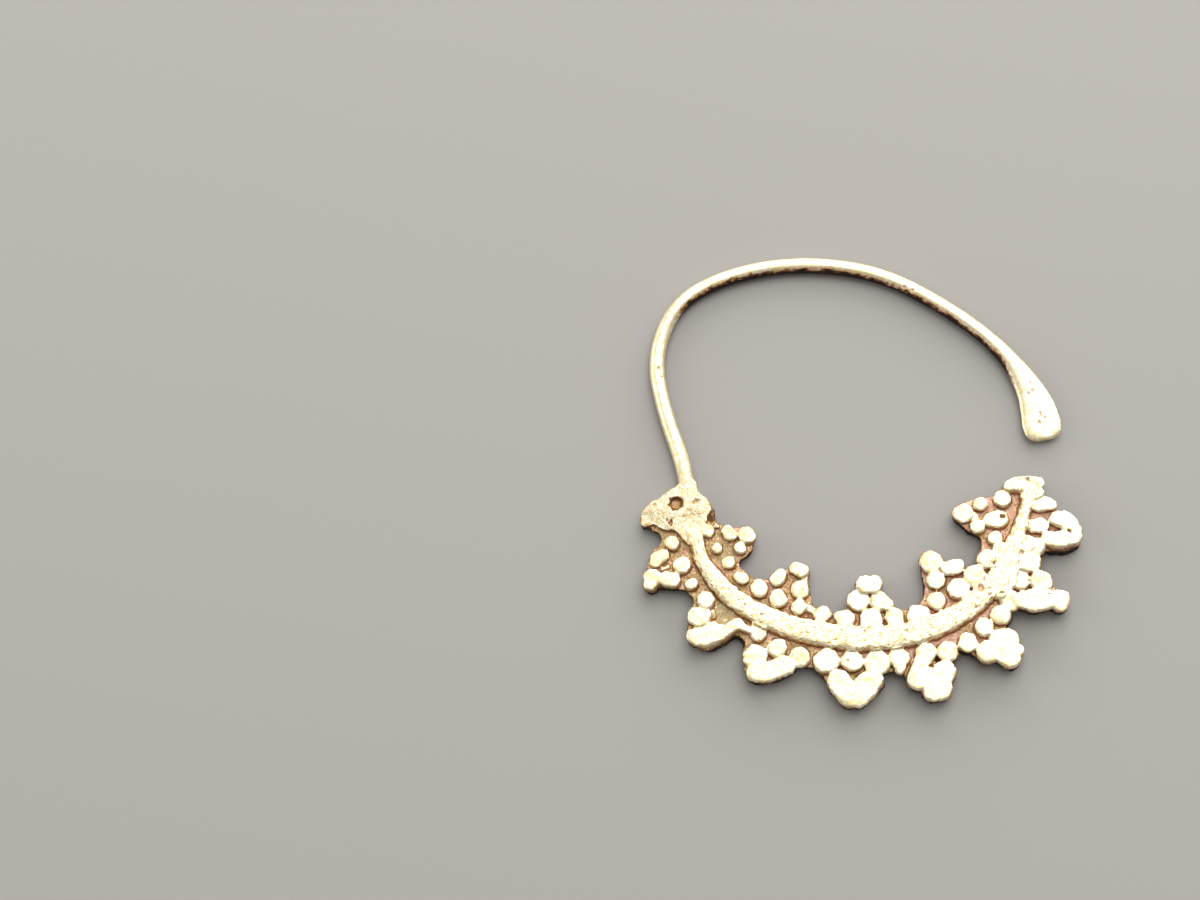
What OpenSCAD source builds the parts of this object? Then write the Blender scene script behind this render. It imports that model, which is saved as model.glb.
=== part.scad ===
// Crescent hoop earring, cast and soldered in one piece, lying on its back.
// X runs to the right, Y from the crescent to the top of the hoop, Z up out of the decorated face.
// All sizes are in millimetres. The back is flat and lies at Z = 0.

/* [Wire] */
// Thickness of the round ear wire
wire_d = 1.45; // [1.3:0.05:1.7]
// Greatest width of the hammered end of the ear wire
paddle_w = 3.5; // [2.8:0.1:3.8]
// Thickness of the hammered end
paddle_t = 0.85; // [0.7:0.05:1.2]

/* [Plate] */
// Thickness of the crescent plate
plate_t = 1.2; // [1.1:0.05:1.4]
// Half of the plate's width where there is no lobe, measured from the rib
band_r = 2; // [1.7:0.1:2.3]
// How far the plate shows past the grains round its edge
rim = 0.06; // [0.04:0.01:0.12]
// Radius of the metal that fills the corners between the grains
web_r = 0.45; // [0.3:0.05:0.6]
// Height of the collar above the plate, where the ear wire grows out of it
collar_h = 0.5; // [0.3:0.05:0.6]

/* [Relief] */
// Height of the grains above the plate
grain_h = 0.75; // [0.5:0.05:0.9]
// Height of the rib above the plate
rib_h = 0.9; // [0.7:0.05:1]
// Width of the rib at the middle of the crescent
rib_w = 1.95; // [1.7:0.05:2.1]

/* [Hidden] */
$fn = 24;

// Moves the middle of the outline to the origin
middle = [0.44, -0.52];

// The line of the wire, from the hammered end over the hoop and along the plate as the rib.
// Each corner [x, y] pulls the line, which touches the middle of each leg between two corners.
BENDS = [
    [16.5, 3.3], [15.9, 7.6], [13, 12.3], [8.2, 16.4], [2.3, 20], [-4.8, 21.3],
    [-11.5, 20.5], [-16.7, 17.9], [-18.8, 12.6], [-17.7, 6.9], [-15.9, 1.8], [-15.4, -3.8],
    [-14.4, -7.6], [-10.9, -11.5], [-5, -13.9], [1.2, -14.7], [6.9, -13.4], [10.8, -10.6],
    [13, -6.7], [14.4, -1.3]
];
// Corner of the line that lies in the collar, where distances along the rib start
COLLAR_BEND = 11;
// Steps that the line takes round one corner
STEPS = 6;

// The lobes of the crescent and their grains, as rows that run along the rib.
// Each row: distance from the rib (negative on the inside), grain diameter, distances along the rib
LOBES = [
    ["outer 1", [[2, 1.4, [1.1, 3]], [1.9, 1.1, [4.6]], [3.5, 1.5, [2, 3.5]],
        [4.3, 1.2, [2.4]], [4.8, 1.65, [3]]]],
    ["outer 2", [[1.75, 1.5, [6.3, 9.3, 11.1]], [3.3, 1.95, [6.8, 8.6]], [4.6, 2.1, [7.7]]]],
    ["outer 3", [[2.25, 1.9, [13, 15]], [3.8, 2, [11.7, 13.8]], [4.85, 2.1, [12.5]]]],
    ["outer 4", [[2.15, 2.1, [17.2, 18.9, 21.1]], [3.95, 2.35, [18.5, 20.4]],
        [4.3, 1.7, [21.2]], [4.95, 2.7, [19.5]]]],
    ["outer 5", [[2.2, 1.9, [22.8, 24.7, 26.5]], [4, 2.15, [24.1, 25.9]],
        [4.8, 1.5, [26.3]], [5.1, 2.3, [25.1]]]],
    ["outer 6", [[2.4, 1.75, [28.1, 29.7, 31.2]], [4.15, 2.2, [29.1, 30.4]],
        [5.4, 1.4, [31]], [5.2, 2.2, [30]]]],
    ["outer 7", [[2.2, 1.65, [32.8, 34.1]], [1.7, 2.2, [35.8]], [3.95, 2.2, [33.6, 35]], [5.6, 1.9, [34.5]]]],
    ["outer 8", [[2.5, 2, [37.4]], [1.9, 1.8, [39.1, 41.2]], [3.9, 1.95, [38.4, 40.1]], [4.8, 2, [39]]]],
    ["inner 1", [[-1.2, 1.35, [0.7]], [-1.75, 1.1, [2.7, 4.9, 7]],
        [-3.4, 1.35, [1.3, 4]], [-4.5, 1.6, [2.2]]]],
    ["inner 2", [[-1.85, 1.65, [9.3, 11.5, 13.7, 16]], [-3.5, 1.65, [10.7, 13.3]], [-5.05, 1.7, [12.5]]]],
    ["inner 3", [[-1.65, 1.95, [18.3, 20.7, 23.1, 25.3]], [-3.35, 1.95, [19.4, 21.9]], [-4.7, 2.15, [20.7]]]],
    ["inner 4", [[-1.75, 1.7, [27.6, 29.9, 32.6, 35]], [-3.5, 1.8, [28.5, 31.5]], [-5.1, 2.05, [29.9]]]],
    ["inner 5", [[-1.5, 1.5, [37, 40.8]], [-1.6, 2.1, [38.9]],
        [-3.3, 1.55, [37.6, 39.9]], [-4.85, 1.75, [38.5]]]]
];
// Radius of the plain metal under the middle of a lobe
core_r = 1.1;

// Sections of the hammered end: distance from its tip, width, thickness
PADDLE = [
    [0, 0.45 * paddle_w, 0.6 * paddle_t],
    [0.25, 0.75 * paddle_w, 0.8 * paddle_t],
    [0.7, 0.93 * paddle_w, 0.95 * paddle_t],
    [1.6, paddle_w, paddle_t],
    [3.2, 0.9 * paddle_w, paddle_t],
    [5.2, 0.7 * paddle_w, 1.15 * paddle_t],
    [8, 1.2 * wire_d, 0.9 * wire_d],
    [11, wire_d, wire_d]
];

// Sections of the rib: distance from the collar, share of its full width, height above the plate
RIB = [
    [-4.5, wire_d / rib_w, wire_d - plate_t],
    [-2, 0.8, collar_h + 0.1],
    [1, 0.68, 0.85 * rib_h],
    [6, 0.8, rib_h],
    [14, 0.95, rib_h],
    [22, 1, rib_h],
    [32, 0.85, rib_h],
    [40, 0.55, 0.9 * rib_h],
    [42.5, 0.55, 0.85 * rib_h]
];

// Corners of the collar's outline, which its round lobes are drawn inside
COLLAR = [
    [-16.5, 0.2], [-17.7, -0.8], [-19.3, -1.6], [-20.2, -2.8], [-19.9, -3.7], [-18.9, -3.4],
    [-17.9, -4.4], [-13.8, -4.4], [-13.3, -3.5], [-13.3, -2.3], [-14.6, -1.1], [-14.9, 0.2]
];
// Middle and diameter of the pit in the collar
PIT = [-16.7, -1.9];
pit_d = 1.35;
pit_deep = 0.45;

// Round ends of the bar that caps the crescent's far end: x, y, diameter
CAP = [[13.2, -1, 1.4], [15.3, -1, 1.5], [15.3, -1.7, 1.5]];
cap_h = 0.8;

// Steps of the sections round the wire
SIDES = 14;

// The line's points round the corner i, from the middle of one leg to the middle of the next
function bend_points(i) =
    let (a = (BENDS[i - 1] + BENDS[i]) / 2, b = BENDS[i], c = (BENDS[i] + BENDS[i + 1]) / 2)
    [for (k = [0 : STEPS - 1]) let (t = k / STEPS) (1 - t) * (1 - t) * a + 2 * t * (1 - t) * b + t * t * c];
LAST = len(BENDS) - 1;
LINE = concat(
    [BENDS[0]],
    [for (i = [1 : LAST - 1]) each bend_points(i)],
    [(BENDS[LAST - 1] + BENDS[LAST]) / 2, BENDS[LAST]]
);

// Distance along the line of each of its points, from the tip of the hammered end
function leg(i) = i < len(LINE) ? norm(LINE[i] - LINE[i - 1]) : 0;
LENGTHS = [for (i = 0, s = 0; i < len(LINE); i = i + 1, s = s + leg(i)) s];
// Distance at which the line passes the collar's corner
collar_s = LENGTHS[1 + (COLLAR_BEND - 1) * STEPS + STEPS / 2];

// A point of the line at the distance s from the tip, and the direction there out of the crescent
X_AT = [for (i = [0 : len(LINE) - 1]) [LENGTHS[i], LINE[i].x]];
Y_AT = [for (i = [0 : len(LINE) - 1]) [LENGTHS[i], LINE[i].y]];
function on_line(s) = [lookup(s, X_AT), lookup(s, Y_AT)];
function outward(s) =
    let (d = on_line(s + 0.3) - on_line(s - 0.3))
    [d.y, -d.x] / norm(d);

// The place of a grain from its distances along the rib and away from it
function beside_rib(along, away) = on_line(collar_s + along) + away * outward(collar_s + along);
// The places of all grains of a lobe, and the mean of some places
function places(lobe) = [for (row = lobe[1]) for (along = row[2]) beside_rib(along, row[0])];
function mean(points) = [for (p = points) 1] * points / len(points);

// Width, thickness and middle height of the wire at each ring, hammered end first
function column(table, c) = [for (row = table) [row[0], row[c]]];
function wire_section(s) =
    s < collar_s + RIB[0][0]
    ? let (w = lookup(s, column(PADDLE, 1)), t = lookup(s, column(PADDLE, 2))) [w, t, wire_d / 2]
    : let (
        along = s - collar_s,
        w = rib_w * lookup(along, column(RIB, 1)),
        top = plate_t + lookup(along, column(RIB, 2)),
        t = min(top, wire_d + 0.2)
    ) [w, t, top - t / 2];

// Distances of the rings along the line: close together where the section or the line changes fast
RINGS = concat(
    [0, 0.2, 0.5, 1, 1.8, 2.8, 4, 5.2, 6.6, 8, 9.5],
    [for (s = [11 : 1.5 : collar_s + RIB[0][0] - 0.5]) s],
    [for (along = [RIB[0][0] : 1.2 : RIB[8][0]]) collar_s + along]
);

function ring(s) =
    let (p = on_line(s), side = outward(s), size = wire_section(s))
    [for (k = [0 : SIDES - 1])
        let (a = 360 * k / SIDES, across = size[0] / 2 * cos(a), up = size[1] / 2 * sin(a))
        [p.x + side.x * across, p.y + side.y * across, size[2] + up]];

// Ear wire and rib: one wire, swept through the rings
module wire() {
    count = len(RINGS);
    points = [for (s = RINGS) each ring(s)];
    skin = [for (j = [0 : count - 2]) for (k = [0 : SIDES - 1])
        let (n = (k + 1) % SIDES)
        [j * SIDES + k, j * SIDES + n, (j + 1) * SIDES + n, (j + 1) * SIDES + k]];
    first = [for (k = [SIDES - 1 : -1 : 0]) k];
    last = [for (k = [0 : SIDES - 1]) (count - 1) * SIDES + k];
    polyhedron(points, concat([first], skin, [last]), convexity = 10);
}

// Round ends of the cap bar, filled between
module cap_outline() {
    hull() for (end = CAP) translate([end[0], end[1]]) circle(d = end[2]);
}

module collar_outline() {
    offset(r = 0.5) offset(delta = -0.5) polygon(COLLAR);
}

// Strip of the plate that follows the rib
module band_outline() {
    along = [for (s = [-1 : 1 : RIB[8][0]]) s];
    polygon(concat(
        [for (s = along) beside_rib(s, band_r)],
        [for (i = [len(along) - 1 : -1 : 0]) beside_rib(along[i], -band_r)]
    ));
}

// Outline of the crescent plate: the strip and a disc under each grain, with the corners filled
module plate_outline() {
    offset(r = -web_r) offset(r = web_r) {
        band_outline();
        collar_outline();
        cap_outline();
        for (lobe = LOBES) {
            translate(mean(places(lobe))) circle(r = core_r);
            for (row = lobe[1]) for (along = row[2])
                translate(beside_rib(along, row[0])) circle(d = row[1] + 2 * rim);
        }
    }
}

// One grain: a ball sunk in the plate, so that its top stands at the grain height.
// It is cut off halfway down the plate, so that no ball comes out at the back.
module grain(d) {
    intersection() {
        translate([0, 0, plate_t + min(0.1 * d, grain_h - d / 2)]) sphere(d = d);
        translate([-d, -d, plate_t / 2]) cube([2 * d, 2 * d, 2 * plate_t]);
    }
}

module grains() {
    for (lobe = LOBES) for (row = lobe[1]) for (along = row[2])
        translate(beside_rib(along, row[0])) grain(row[1]);
}

module earring() {
    color("#E3CC93") translate(middle) difference() {
        union() {
            linear_extrude(plate_t) plate_outline();
            linear_extrude(plate_t + collar_h) collar_outline();
            linear_extrude(plate_t + cap_h) cap_outline();
            wire();
            grains();
        }
        translate([PIT.x, PIT.y, plate_t + collar_h + pit_d / 2 - pit_deep]) sphere(d = pit_d);
    }
}

earring();
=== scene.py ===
"""Looks of the crescent hoop earring: worn cast brass, pale gold on top and brown in its hollows.

The plate, the collar, the ear wire, the rib and the grains are made again at a finer grain than in
the construction, fused into one skin, and then worn, pitted and tarnished, with shade painted on
its walls, its undersides and the inner side of the hoop.
Shapes are worked in millimetres and put into metres at the end.
"""

import math

import bpy
import numpy as np
from mathutils import Matrix, Vector, noise


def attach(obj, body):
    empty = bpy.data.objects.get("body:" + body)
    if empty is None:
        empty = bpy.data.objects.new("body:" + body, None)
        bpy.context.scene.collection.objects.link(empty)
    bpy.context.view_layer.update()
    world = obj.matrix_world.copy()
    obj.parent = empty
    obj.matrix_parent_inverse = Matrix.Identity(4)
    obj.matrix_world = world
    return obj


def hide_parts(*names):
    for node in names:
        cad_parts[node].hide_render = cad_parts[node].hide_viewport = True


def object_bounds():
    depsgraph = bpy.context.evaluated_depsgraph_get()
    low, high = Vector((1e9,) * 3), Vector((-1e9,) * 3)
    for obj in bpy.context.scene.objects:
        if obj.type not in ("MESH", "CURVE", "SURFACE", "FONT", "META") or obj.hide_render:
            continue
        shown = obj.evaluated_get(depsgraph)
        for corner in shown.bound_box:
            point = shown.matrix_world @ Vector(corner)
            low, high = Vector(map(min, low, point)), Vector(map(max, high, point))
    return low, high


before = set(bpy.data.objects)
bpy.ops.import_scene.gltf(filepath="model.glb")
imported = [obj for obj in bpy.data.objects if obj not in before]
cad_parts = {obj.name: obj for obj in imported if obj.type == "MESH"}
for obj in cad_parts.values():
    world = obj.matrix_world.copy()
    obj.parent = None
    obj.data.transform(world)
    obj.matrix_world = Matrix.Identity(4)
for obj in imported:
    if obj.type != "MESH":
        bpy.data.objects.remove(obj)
cad_low, cad_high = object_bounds()

MM = 0.001

# Sizes of the construction that the skin keeps to
WIRE_D = 1.45
PLATE_T = 1.2
COLLAR_H = 0.5
RIB_H = 0.9
RIB_W = 1.95
PADDLE_W = 3.5
PADDLE_T = 0.85
MIDDLE = np.array([0.44, -0.52])

# The line of the wire, from the hammered end over the hoop and along the plate as the rib
BENDS = [
    [16.5, 3.3], [15.9, 7.6], [13, 12.3], [8.2, 16.4], [2.3, 20], [-4.8, 21.3],
    [-11.5, 20.5], [-16.7, 17.9], [-18.8, 12.6], [-17.7, 6.9], [-15.9, 1.8], [-15.4, -3.8],
    [-14.4, -7.6], [-10.9, -11.5], [-5, -13.9], [1.2, -14.7], [6.9, -13.4], [10.8, -10.6],
    [13, -6.7], [14.4, -1.3],
]
COLLAR_BEND = 11  # the corner at which the collar sits
STEPS = 24  # points drawn round each corner

# Sections of the hammered end: distance from its tip, width, thickness
PADDLE = [
    [0, 0.45 * PADDLE_W, 0.6 * PADDLE_T], [0.25, 0.75 * PADDLE_W, 0.8 * PADDLE_T],
    [0.7, 0.93 * PADDLE_W, 0.95 * PADDLE_T], [1.6, PADDLE_W, PADDLE_T],
    [3.2, 0.9 * PADDLE_W, PADDLE_T], [5.2, 0.7 * PADDLE_W, 1.15 * PADDLE_T],
    [8, 1.2 * WIRE_D, 0.9 * WIRE_D], [11, WIRE_D, WIRE_D],
]
# Sections of the rib: distance from the collar, share of its full width, height above the plate,
# shift out of the crescent
RIB = [
    [-4.5, WIRE_D / RIB_W, WIRE_D - PLATE_T, 0], [-2, 0.8, COLLAR_H + 0.1, 0],
    [0.5, 0.72, 0.8 * RIB_H, -0.3], [2, 0.58, 0.85 * RIB_H, -0.1], [3.5, 0.64, 0.9 * RIB_H, 0],
    [6, 0.78, RIB_H, -0.03], [9.5, 0.86, RIB_H, -0.03],
    [14, 0.98, RIB_H, 0.05], [22, 1.01, RIB_H, 0], [32, 0.87, RIB_H, 0.02], [36, 0.75, RIB_H, 0.1],
    [40, 0.5, 0.9 * RIB_H, 0.4], [42.5, 0.5, 0.85 * RIB_H, 0.45],
]
RIB_SWELL = 1.14  # wear takes the rib in, so it starts this much wider
RIB_DEEPEST = WIRE_D + 0.2  # the rib reaches down into the plate, but not through it

# Stretches of the line where one surface gives way to the next, in millimetres from the collar
RIB_WIDENS = (-0.5, 3)
RIB_STARTS = (-1.2, -0.2)
RIB_ENDS = (RIB[-1][0] - 1.2, RIB[-1][0] - 0.6)
PLATE_STARTS = (-4.6, -3.4)
COLLAR_STARTS = (-4.9, -4.1)
COLLAR_RISES = (-4.6, -2)
COLLAR_ENDS = (0, 1.6)
MELLOW_STARTS = (-5.2, -4.4)
MELLOW_ENDS = (-0.2, 1)
TARNISH_STARTS = (-3.2, -2.2)
BARE_STARTS = (-4.5, -3.6)
BARE_ENDS = (-0.9, 0.1)

# Worn shape of the rib: height of its flat, steepness of its sides, what is left of its dome
RIB_FLAT = 0.66
RIB_STEEPNESS = 3.5
RIB_DOME = 0.12
RIB_EDGE = (-0.05, 0.15)
# Worn shape of the collar: its rise over the wire, its fall to the sides, and the most it fills up
COLLAR_RISE = 0.3
COLLAR_FALL = 0.1
COLLAR_HALF = 3
COLLAR_FILL = 0.08

# Edge of the cast plate as charted on the photograph, a row or two for each lobe: x, y
PLATE_EDGE = [
    (-15.9, -0.2), (-16.7, -1), (-18.9, -2.15), (-19.45, -3), (-19.5, -3.9), (-18.9, -4.2), (-18, -4.85),
    (-17.6, -5.2), (-17.8, -5.8), (-18.6, -6.5), (-19.15, -8.1), (-19.25, -9.2), (-18.8, -9.8),
    (-16.1, -9.85), (-15.2, -10.4), (-14.7, -11.2),
    (-15.2, -12.1), (-15.4, -13.5), (-15.35, -14.6), (-14.9, -15.15), (-14, -15.3), (-12.3, -14.65),
    (-11.5, -14.15), (-10.8, -14.2), (-10.05, -14.9),
    (-10.45, -16.2), (-10.4, -17.3), (-10, -18.1), (-9, -18.5), (-8, -18.45), (-6.8, -18), (-6.1, -17.4),
    (-4.8, -17.3),
    (-3.9, -17.7), (-3.2, -18.7), (-2.3, -20.3), (-1.2, -20.75), (0.1, -20.6), (0.8, -19.9), (1.5, -19),
    (1.45, -18.45), (2.3, -17.95), (3.5, -17.8),
    (3.9, -18.8), (4.2, -19.2), (5, -19.4), (5.2, -20.1), (6.2, -20.2), (7.15, -19.9), (7.45, -19.1),
    (7.95, -18.4), (7.9, -17), (8.15, -16.2), (9.2, -16.3),
    (10.1, -17), (11, -17.2), (12.3, -17.4), (13.35, -17), (13.6, -16.4), (13.2, -15.8), (12.9, -14.8),
    (12.6, -14.1), (12.9, -13.4), (12.9, -12.6),
    (14.3, -12.55), (15.3, -12.75), (16.7, -12.7), (17.55, -12.3), (17.8, -11.6), (17, -10.95),
    (16.6, -10), (15.6, -9.2), (15.35, -8.3), (15.8, -7.6),
    (17.2, -7.3), (18.4, -7.4), (19.1, -6.9), (19.2, -6), (18.7, -4.8), (17.6, -4.1), (17.15, -3.3),
    (16.5, -2.7), (16.3, -1.9), (16.5, -1.4), (15.6, -0.95), (13.9, -1.1), (13, -1.55), (12.9, -2.1),
    (11.8, -2.45), (10.3, -2.5), (9.1, -3.1), (8.55, -4), (8.55, -4.55), (9.15, -4.8), (9.5, -5.5),
    (10.5, -5.95), (10.9, -6.55), (10.5, -7.6), (10.2, -8.7), (9.4, -8.9),
    (8.6, -8.25), (7.4, -8.1), (6.4, -7.4), (5.55, -7.8), (5.35, -8.8), (5.65, -10), (5.65, -11.2),
    (5.2, -11.95), (3.9, -12.5), (3.2, -12.3),
    (2.4, -11.4), (1.85, -10.9), (1.75, -9.9), (0.9, -9.5), (0, -9.8), (-0.15, -10.8), (-1.05, -11.2),
    (-1.15, -12.2), (-2.3, -12.65), (-3, -12.2), (-3.9, -12.05), (-4.4, -11.5),
    (-4.5, -10), (-4.5, -8.6), (-5, -8.1), (-6, -8), (-6.6, -8.65), (-7.6, -8.8), (-7.95, -9.45),
    (-9.2, -9.4), (-10.6, -8.2), (-10.7, -7.35), (-10.1, -7.3),
    (-9.6, -6.9), (-9.4, -5.9), (-9.25, -4.9), (-9.9, -4.5), (-11, -4.45), (-12.2, -4.2), (-12.9, -3.9),
    (-12.85, -2.9), (-13.4, -2.05), (-14.3, -1), (-14.55, -0.2),
]
# Edge of the raised collar: x, y
COLLAR_EDGE = [
    (-15.9, 0.2), (-16, -0.4), (-17, -1.1), (-18.2, -1.75), (-19.1, -2.3), (-19.55, -3.2), (-19.55, -4.2),
    (-18.9, -4.2), (-18.3, -3.9), (-17.7, -4.6), (-16.3, -4.65), (-15.9, -5.2), (-15.2, -6.2),
    (-14.4, -5.9), (-14.45, -4.6), (-13.5, -4.2), (-13.4, -3.25), (-12.85, -2.9), (-13.4, -2), (-14.2, -1.2),
    (-14.5, -0.4), (-14.6, 0.2),
]
COLLAR_TOP = 1.76
UNDERCUT = 0.06  # the foot of a wall stands back by this
# Walls that lean out at their foot: x, y, reach, lean
LEANS = [(-12, -14.6, 2.6, 0.4), (18, -7.4, 1.8, 0.35), (-17.5, -9.9, 2, 0.12), (-14, -15.3, 1.4, 0.12)]

# Worn grains that stand alone on the plate, lobe by lobe: x, y, width
GRAINS = [
    (-16.7, -5.9, 1.3), (-15.8, -8, 1.55), (-14.9, -9.7, 1.15),
    (-13.7, -11.2, 1.5), (-9.42, -16.35, 2.15), (-7.45, -15.65, 1.8), (-5.45, -16.45, 1.9),
    (-3.15, -16.95, 2.25), (-0.87, -17, 2.05), (1.3, -17.2, 2.25), (3.2, -16.8, 1.8), (3.2, -17.6, 1.1),
    (7.4, -16.3, 1.85), (9.15, -15.55, 1.7), (10.6, -14.25, 1.65), (12.2, -13.2, 1.75),
    (13.05, -11.9, 1.9), (14, -10.2, 1.6), (15.8, -10.25, 1.95), (15.5, -7.2, 1.7),
    (-13.45, -4.85, 1.15), (-9.95, -5.3, 1.6), (-10.6, -6.5, 1.15), (-11.55, -7.85, 1.2), (-12.6, -6.5, 0.9),
    (-8.9, -10.3, 1.65), (-5.25, -10.45, 1.7), (-7.2, -11.2, 1.6), (-5.45, -12.05, 1.4), (-3.4, -12.7, 1.5),
    (-0.2, -11.6, 2), (1.75, -11.7, 1.75), (2.4, -12, 1.1), (0.9, -13.35, 2.05), (2.95, -13.1, 1.7),
    (5.05, -13.1, 1.9), (6.45, -8.3, 2.1), (6.7, -9.95, 1.7), (8.6, -10.8, 1.85), (10.15, -9.7, 1.95),
    (6.7, -11.8, 1.6), (11.2, -8.1, 1.7), (12.05, -6.25, 1.35), (10.55, -5.25, 1.3), (9.35, -3.9, 1.75),
    (10.9, -3.1, 1.25), (12.85, -2.8, 1.5), (13.5, -16.4, 1),
]

# Runs where the metal flowed together: height of the top above the plate, then x, y, width along each
RUNS = [
    (0.64, [(-18.1, -7.35, 1.3), (-17.6, -7.05, 1.2)]),
    (0.66, [(-18.5, -9, 1.6), (-18.7, -9.6, 1.2)]),
    (0.64, [(-17.2, -9.15, 1.35), (-16.6, -9.25, 1.35)]),
    (0.66, [(-14.6, -12.7, 1.65), (-14.1, -12.6, 1.8)]),
    (0.7, [
        (-14.75, -14.4, 1.4), (-14, -14.6, 1.65), (-12.95, -14.15, 1.8), (-12.2, -14.1, 1.15),
        (-11.7, -13.9, 0.9), (-10.95, -13.4, 1.05), (-10.5, -13.65, 0.65), (-9.8, -14.05, 0.5),
    ]),
    (0.64, [(-9.1, -13.9, 1.3), (-9.05, -14.35, 1.4)]),
    (0.68, [(-9.2, -17.7, 1.9), (-8.3, -17.8, 1.7), (-7.4, -17.5, 1.7), (-6.6, -17.2, 1.5)]),
    (0.66, [(-2.15, -18.7, 2), (-1.2, -20.1, 1.9)]),
    (0.68, [(1.1, -18.8, 1.4), (0.4, -19, 2.2), (-0.5, -20.1, 1.9)]),
    (0.64, [(5.5, -16.4, 1.75), (5.2, -17.2, 1.4), (4.85, -18.6, 1.95)]),
    (0.66, [(7.1, -18.1, 1.95), (6, -18.5, 1.4), (4.85, -18.6, 1.95)]),
    (0.68, [(6, -19.8, 1.7), (6.8, -19.6, 1.75), (7, -18.6, 1.3)]),
    (0.66, [
        (12, -15.3, 1.8), (12.6, -15.3, 1.9), (12.75, -16.9, 1.9), (11.8, -16.4, 1.5), (10.8, -16.4, 1.9),
    ]),
    (0.66, [(14.2, -11.9, 1.5), (15.2, -12, 2), (16.3, -12, 1.5), (17.3, -11.8, 1.65), (17.3, -12.3, 1.5)]),
    (0.66, [(13.9, -8.2, 1.7), (14.9, -8.5, 1.9)]),
    (0.72, [
        (17.4, -4.7, 1.3), (18, -4.75, 1.5), (18.5, -5.2, 1.5), (18.8, -5.85, 1.45), (18.8, -6.4, 1.4),
        (18.1, -6.5, 1.4), (17.4, -6.6, 1.5), (16.6, -6.5, 1.3),
    ]),
    (0.66, [(15.8, -3.4, 1.15), (16.3, -3.3, 1.3), (16.8, -3.3, 1.25), (17.1, -3.4, 0.9)]),
    (0.62, [(15.5, -5.3, 1.3), (16.1, -5.3, 1.4)]),
    (0.6, [(-11.7, -4.75, 1), (-11.4, -5.2, 1.1)]),
    (0.6, [(-10.7, -9.1, 0.95), (-10.3, -9.35, 1)]),
    (0.64, [(-7.3, -9.45, 1.35), (-7, -9.1, 1.1)]),
    (0.66, [(-5.6, -8.45, 1.15), (-5, -8.75, 1.2)]),
    (0.45, [(-4.85, -9, 0.6), (-4.8, -10, 0.6)]),
    (0.5, [(-4.9, -12, 0.8), (-4, -12.4, 0.6)]),
    (0.64, [(-1.8, -12.95, 1.05), (-1.3, -13.2, 1.6)]),
    (0.68, [(0.5, -10.15, 1.65), (1.2, -10.15, 1.65)]),
    (0.66, [(7.9, -8.85, 1.3), (8.5, -8.75, 1.4)]),
    (0.62, [(11.6, -4.6, 1.2), (12.5, -4.6, 1.65)]),
    (0.45, [(10.2, -4.1, 0.7), (10.5, -4.7, 0.7)]),
    (0.72, [(12.4, -7.4, 1.4), (13.1, -8.6, 1.9), (12.8, -10.2, 1.7), (12.1, -11.2, 1.2)]),
    (0.72, [(14.8, -6.9, 1.5), (13.8, -7.2, 1.5)]),
    (0.8, [(13.5, -1.65, 1.05), (14, -1.5, 1.3), (15, -1.45, 1.35), (15.6, -1.45, 1.3), (16.05, -1.5, 1)]),
    (0.78, [(14.85, -2.5, 0.9), (15.5, -2.3, 1.45), (15.9, -2.25, 1.15)]),
    (0.16, [(-13.1, -12.1, 0.35), (-13, -12.6, 0.4)]),
    (0.2, [(-17.5, -8.1, 0.45), (-17.1, -8, 0.45)]),
    (0.25, [(-12.7, -4.3, 0.45), (-12.5, -4.4, 0.4)]),
    (0.4, [(-19, -3.5, 1), (-18.6, -2.9, 1.3), (-17.9, -2.4, 1.3), (-17.2, -1.9, 1.3), (-16.5, -1.3, 1.1)]),
]

# Grains start as drums, which stand deep in the plate
GRAIN_TOP = 0.64  # height of a lone grain above the plate
TOP_SPREAD = 0.05  # how far that height strays by chance
PEG_HALF = 0.87  # half the height of a drum
GRAIN_FOOT = 0.08  # no drum reaches lower than this
FULLNESS = 1.04  # wear takes a grain in, so it starts this much wider
SQUARENESS = 14.0  # 2 makes a ball, and more makes a drum with a tighter rim
UNEVENNESS = 0.06  # how far its width strays by chance
LONE_TIP = 0.09  # how far a lone grain tips, in radians
RUN_TIP = 0.02
RUN_STEP = 0.22  # distance from one grain of a run to the next
GRAIN_SEED = 11  # of the grains' widths and turns
HEIGHT_SEED = 5

# The skin: size of the cells that fuse it, and the triangles that it is brought down to
CELL = 0.075
TRIANGLES = 190000

# Bumps of the cast surface: size, height, seed
SWELLS = [(1.3, 0.02, 5), (0.45, 0.009, 6), (0.2, 0.006, 7)]
COLLAR_SWELLS = [(1.1, 0.03, 21), (0.4, 0.01, 22)]
FRAY = [(0.3, 0.09, 31)]
BLOTCHES = [(1.1, 0.13, 41), (0.22, 0.15, 42)]
# Wander of the outlines: size, reach, seed
WANDER = [(0.9, 0.05, 1), (0.35, 0.046, 3)]

# Heights over which the cast swells set in above the back, and calm down above the plate
BACK_ENDS = (0.1, 0.3)
HOLLOWS_END = (0.05, 0.3)
# Shares of a spot's half width over which a pit, its colour, its dark rim of painted shade and a stain fade
PIT_FADES = (0.6, 1.1)
COLOUR_FADES = (0.8, 1.2)
RIM_STARTS = (0.5, 0.85)
RIM_ENDS = (0.9, 1.2)
STAIN_FADES = (0.6, 1.2)
# Where tarnish and painted shade give way to bare metal: heights above the plate, slopes, and shares
# of the wire's side
GROUND_ENDS = (0.08, 0.26)
SIDES_END = (0.4, 0.62)
STEEP = (0.36, 0.66)
UNDERSIDE = (-0.25, 0.35)
HALF_SHADE_FROM = (0.3, 0.7)
DEEP_SHADE_FROM = (0.55, 0.85)
SHADED_SIDE = (-0.95, -0.6)
PADDLE_ENDS = (4, 9)

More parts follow.
